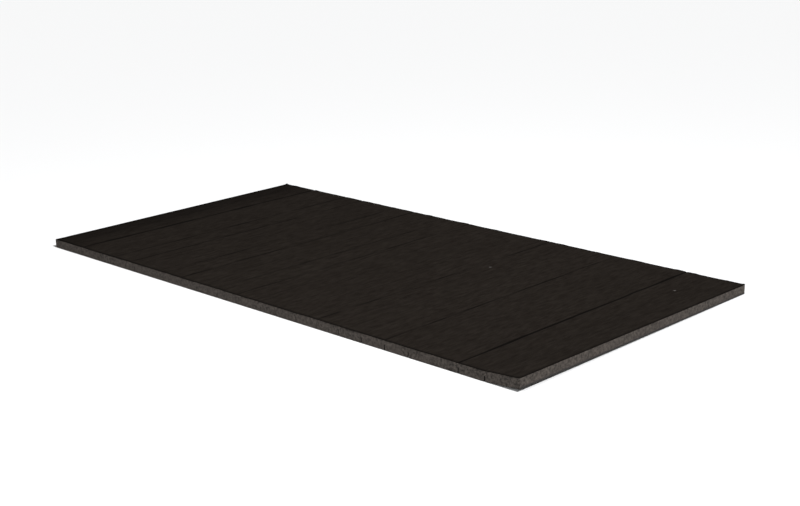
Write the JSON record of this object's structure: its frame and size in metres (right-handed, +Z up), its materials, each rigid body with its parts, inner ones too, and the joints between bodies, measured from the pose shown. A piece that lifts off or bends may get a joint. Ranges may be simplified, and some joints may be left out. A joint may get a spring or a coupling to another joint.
{
  "type": "seedling heat mat",
  "caption": "Flat rectangular propagation heat mat: slit closed-cell foam under a thin black ribbed cover with a heating cable bonded beneath it; it curls up and rolls slat by slat.",
  "frame": {"origin": "middle of the underside of the mat lying flat", "axes": "+X along the length, away from the end with the junction box; +Y across the mat; +Z up through the cover"},
  "size_m": [1.155, 0.6, 0.017],
  "materials": {
    "foam": "matt closed-cell foam",
    "cover": "matt, finely ribbed",
    "box": "moulded, fine texture",
    "bush": "matt",
    "screws": "zinc plated",
    "terminals": "satin",
    "brass_screws": "satin",
    "cutout": "satin",
    "lead": "satin",
    "sleeve": "satin heat-shrink"
  },
  "bodies": {
    "slat_01": {"foam_slat_01": "foam", "end_cover_01": "cover", "junction_box_shell": "box", "junction_box_lid": "box", "box_lid_screws": "screws", "inlet_bush": "bush", "cord_clamp": "box", "clamp_screws": "screws", "terminal_block": "terminals", "terminal_screws": "brass_screws", "thermal_cutout": "cutout", "cold_lead_01": "lead"},
    "slat_02": {"foam_slat_02": "foam", "end_cover_02": "cover", "cold_lead_02": "lead", "splice_sleeve": "sleeve"},
    "slat_03": {"foam_slat_03": "foam", "heater_cover_03": "cover"},
    "slat_04": {"foam_slat_04": "foam", "heater_cover_04": "cover"},
    "slat_05": {"foam_slat_05": "foam", "heater_cover_05": "cover"},
    "slat_06": {"foam_slat_06": "foam", "heater_cover_06": "cover"},
    "slat_07": {"foam_slat_07": "foam", "heater_cover_07": "cover"},
    "slat_08": {"foam_slat_08": "foam", "heater_cover_08": "cover"},
    "slat_09": {"foam_slat_09": "foam", "heater_cover_09": "cover"},
    "slat_10": {"foam_slat_10": "foam", "heater_cover_10": "cover"},
    "slat_11": {"foam_slat_11": "foam", "heater_cover_11": "cover"},
    "slat_12": {"foam_slat_12": "foam", "heater_cover_12": "cover"},
    "slat_13": {"foam_slat_13": "foam", "heater_cover_13": "cover"},
    "slat_14": {"foam_slat_14": "foam", "heater_cover_14": "cover"},
    "slat_15": {"foam_slat_15": "foam", "heater_cover_15": "cover"},
    "slat_16": {"foam_slat_16": "foam", "heater_cover_16": "cover"},
    "slat_17": {"foam_slat_17": "foam", "heater_cover_17": "cover"},
    "slat_18": {"foam_slat_18": "foam", "heater_cover_18": "cover"},
    "slat_19": {"foam_slat_19": "foam", "heater_cover_19": "cover"},
    "slat_20": {"foam_slat_20": "foam", "heater_cover_20": "cover"},
    "slat_21": {"foam_slat_21": "foam", "heater_cover_21": "cover", "cable_end_cap": "sleeve"},
    "slat_22": {"foam_slat_22": "foam", "end_cover_22": "cover"},
    "slat_23": {"foam_slat_23": "foam", "end_cover_23": "cover"}
  },
  "joints": [
    {"name": "slit_01", "type": "hinge", "parent": "slat_02", "child": "slat_01", "pos_m": [-0.5375, 0, 0.017], "axis": [0, 1, 0], "range_deg": [0, 15]},
    {"name": "slit_02", "type": "hinge", "parent": "slat_03", "child": "slat_02", "pos_m": [-0.4875, 0, 0.017], "axis": [0, 1, 0], "range_deg": [0, 15]},
    {"name": "slit_03", "type": "hinge", "parent": "slat_04", "child": "slat_03", "pos_m": [-0.4375, 0, 0.017], "axis": [0, 1, 0], "range_deg": [0, 15]},
    {"name": "slit_04", "type": "hinge", "parent": "slat_05", "child": "slat_04", "pos_m": [-0.3875, 0, 0.017], "axis": [0, 1, 0], "range_deg": [0, 15]},
    {"name": "slit_05", "type": "hinge", "parent": "slat_06", "child": "slat_05", "pos_m": [-0.3375, 0, 0.017], "axis": [0, 1, 0], "range_deg": [0, 15]},
    {"name": "slit_06", "type": "hinge", "parent": "slat_07", "child": "slat_06", "pos_m": [-0.2875, 0, 0.017], "axis": [0, 1, 0], "range_deg": [0, 15]},
    {"name": "slit_07", "type": "hinge", "parent": "slat_08", "child": "slat_07", "pos_m": [-0.2375, 0, 0.017], "axis": [0, 1, 0], "range_deg": [0, 15]},
    {"name": "slit_08", "type": "hinge", "parent": "slat_09", "child": "slat_08", "pos_m": [-0.1875, 0, 0.017], "axis": [0, 1, 0], "range_deg": [0, 15]},
    {"name": "slit_09", "type": "hinge", "parent": "slat_10", "child": "slat_09", "pos_m": [-0.1375, 0, 0.017], "axis": [0, 1, 0], "range_deg": [0, 15]},
    {"name": "slit_10", "type": "hinge", "parent": "slat_11", "child": "slat_10", "pos_m": [-0.0875, 0, 0.017], "axis": [0, 1, 0], "range_deg": [0, 15]},
    {"name": "slit_11", "type": "hinge", "parent": "slat_12", "child": "slat_11", "pos_m": [-0.0375, 0, 0.017], "axis": [0, 1, 0], "range_deg": [0, 15]},
    {"name": "slit_12", "type": "hinge", "parent": "slat_12", "child": "slat_13", "pos_m": [0.0125, 0, 0.017], "axis": [0, -1, 0], "range_deg": [0, 15]},
    {"name": "slit_13", "type": "hinge", "parent": "slat_13", "child": "slat_14", "pos_m": [0.0625, 0, 0.017], "axis": [0, -1, 0], "range_deg": [0, 15]},
    {"name": "slit_14", "type": "hinge", "parent": "slat_14", "child": "slat_15", "pos_m": [0.1125, 0, 0.017], "axis": [0, -1, 0], "range_deg": [0, 15]},
    {"name": "slit_15", "type": "hinge", "parent": "slat_15", "child": "slat_16", "pos_m": [0.1625, 0, 0.017], "axis": [0, -1, 0], "range_deg": [0, 15]},
    {"name": "slit_16", "type": "hinge", "parent": "slat_16", "child": "slat_17", "pos_m": [0.2125, 0, 0.017], "axis": [0, -1, 0], "range_deg": [0, 15]},
    {"name": "slit_17", "type": "hinge", "parent": "slat_17", "child": "slat_18", "pos_m": [0.2625, 0, 0.017], "axis": [0, -1, 0], "range_deg": [0, 15]},
    {"name": "slit_18", "type": "hinge", "parent": "slat_18", "child": "slat_19", "pos_m": [0.3125, 0, 0.017], "axis": [0, -1, 0], "range_deg": [0, 15]},
    {"name": "slit_19", "type": "hinge", "parent": "slat_19", "child": "slat_20", "pos_m": [0.3625, 0, 0.017], "axis": [0, -1, 0], "range_deg": [0, 15]},
    {"name": "slit_20", "type": "hinge", "parent": "slat_20", "child": "slat_21", "pos_m": [0.4125, 0, 0.017], "axis": [0, -1, 0], "range_deg": [0, 15]},
    {"name": "slit_21", "type": "hinge", "parent": "slat_21", "child": "slat_22", "pos_m": [0.4625, 0, 0.017], "axis": [0, -1, 0], "range_deg": [0, 15]},
    {"name": "slit_22", "type": "hinge", "parent": "slat_22", "child": "slat_23", "pos_m": [0.5125, 0, 0.017], "axis": [0, -1, 0], "range_deg": [0, 15]}
  ]
}
